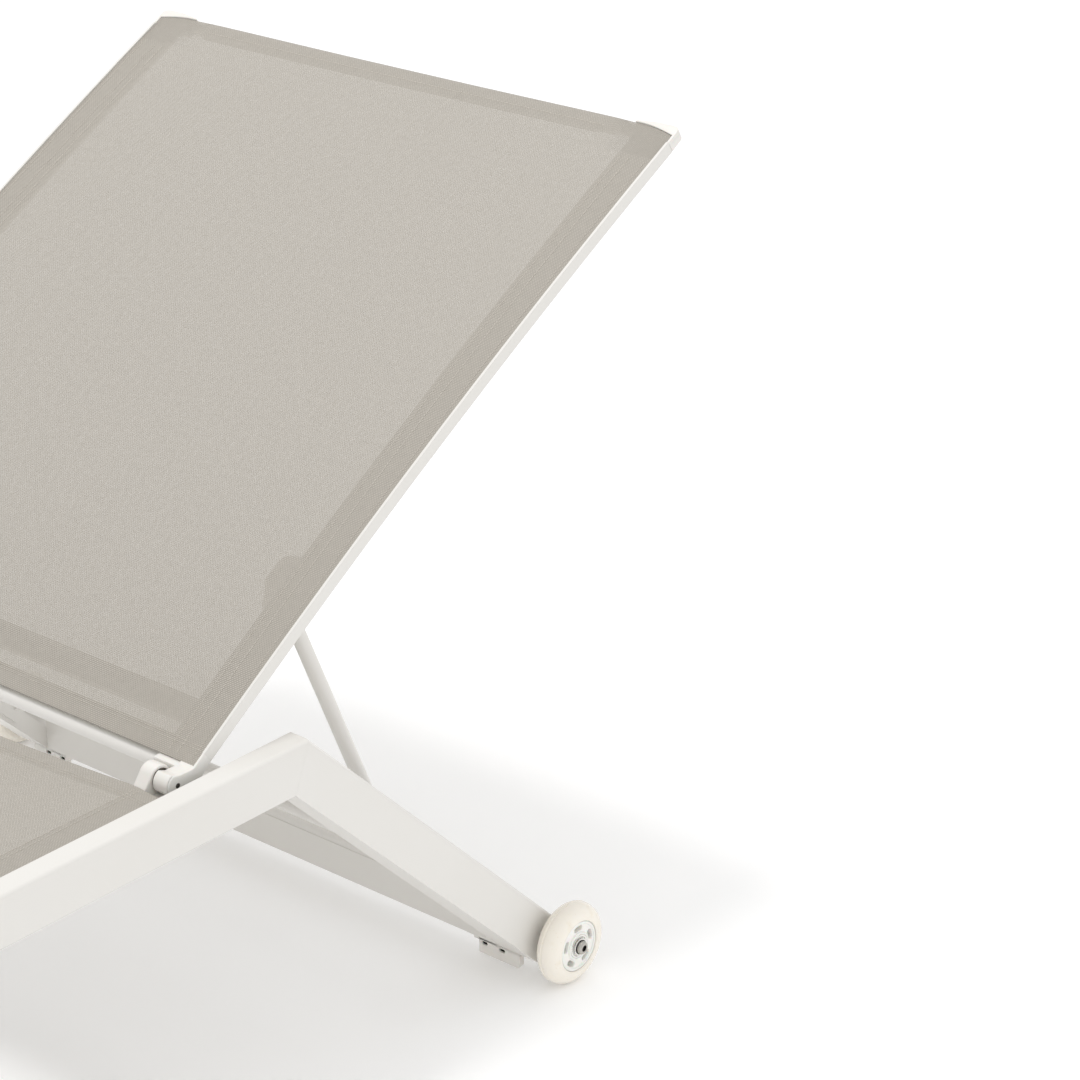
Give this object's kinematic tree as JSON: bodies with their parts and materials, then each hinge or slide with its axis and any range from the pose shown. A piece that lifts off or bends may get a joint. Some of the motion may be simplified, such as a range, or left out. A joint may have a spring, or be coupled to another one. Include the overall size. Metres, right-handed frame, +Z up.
{
  "type": "sun lounger",
  "caption": "Poolside sun lounger with a bent-leg aluminium frame, taupe mesh slings, a reclining back rest held by a prop, and small wheels at the head end.",
  "frame": {"origin": "on the ground, under the middle of the lounger's bounding box as it stands", "axes": "+Z up, +Y towards the head end with the wheels, +X to the right as seen from the foot end"},
  "size_m": [0.7552, 1.9614, 0.724],
  "materials": {
    "powder_coat": "fine satin white powder coat on aluminium",
    "white_nylon": "satin moulded white nylon",
    "sling_mesh": "taupe PVC-coated polyester mesh, plain weave",
    "keder_vinyl": "smooth soft vinyl cord",
    "stainless_steel": "plain stainless steel",
    "wheel_urethane": "cast cream polyurethane, semi-gloss",
    "hub_nylon": "moulded white nylon",
    "bearing_steel": "ground bearing steel with pressed shields",
    "washer_rubber": "dark thrust washer"
  },
  "bodies": {
    "frame": {"rail_left": "powder_coat", "rail_right": "powder_coat", "rear_leg_left": "powder_coat", "rear_leg_right": "powder_coat", "front_leg_left": "powder_coat", "front_leg_right": "powder_coat", "rear_crossbeam": "powder_coat", "front_crossbeam": "powder_coat", "seat_stretcher_head": "powder_coat", "seat_stretcher_foot": "powder_coat", "seat_sling": "sling_mesh", "seat_keders": "keder_vinyl", "front_glides": "white_nylon", "leg_end_caps": "white_nylon", "stacking_blocks": "white_nylon", "block_screws": "stainless_steel", "hinge_bracket_left": "white_nylon", "hinge_bracket_right": "white_nylon", "bracket_screws": "stainless_steel", "hinge_pin_left": "stainless_steel", "hinge_pin_right": "stainless_steel", "hinge_washers": "washer_rubber", "rack_left": "powder_coat", "rack_right": "powder_coat", "rack_rivets": "stainless_steel", "axle_bolts": "stainless_steel", "axle_washers": "stainless_steel", "axle_spacers": "white_nylon", "axle_inserts": "stainless_steel"},
    "back": {"back_bar_left": "powder_coat", "back_bar_right": "powder_coat", "back_top_tube": "powder_coat", "back_bottom_tube": "powder_coat", "back_edge_tube": "powder_coat", "back_corner_caps": "white_nylon", "hinge_casting_left": "white_nylon", "hinge_casting_right": "white_nylon", "prop_bracket_left": "powder_coat", "prop_bracket_right": "powder_coat", "prop_pivot_pins": "stainless_steel", "back_sling": "sling_mesh", "back_keders": "keder_vinyl"},
    "prop": {"prop_arm_left": "powder_coat", "prop_arm_right": "powder_coat", "prop_foot_rod": "powder_coat", "prop_rod_caps": "white_nylon"},
    "wheel_left": {"tyre_left": "wheel_urethane", "hub_left": "hub_nylon", "bearings_left": "bearing_steel"},
    "wheel_right": {"tyre_right": "wheel_urethane", "hub_right": "hub_nylon", "bearings_right": "bearing_steel"}
  },
  "joints": [
    {"name": "back_recline", "type": "hinge", "parent": "frame", "child": "back", "pos_m": [0, 0.36164, 0.345], "axis": [1, 0, 0], "range_deg": [-31.9, 28]},
    {"name": "prop_swing", "type": "hinge", "parent": "back", "child": "prop", "pos_m": [0, 0.52894, 0.42243], "axis": [1, 0, 0], "range_deg": [-35.5, 40.5]},
    {"name": "wheel_left_spin", "type": "hinge", "parent": "frame", "child": "wheel_left", "pos_m": [-0.36, 0.77314, 0.038], "axis": [1, 0, 0], "continuous": true},
    {"name": "wheel_right_spin", "type": "hinge", "parent": "frame", "child": "wheel_right", "pos_m": [0.36, 0.77314, 0.038], "axis": [1, 0, 0], "continuous": true}
  ],
  "couplings": [
    {"joint": "prop_swing", "follows": "back_recline", "ratio": -1.25}
  ]
}
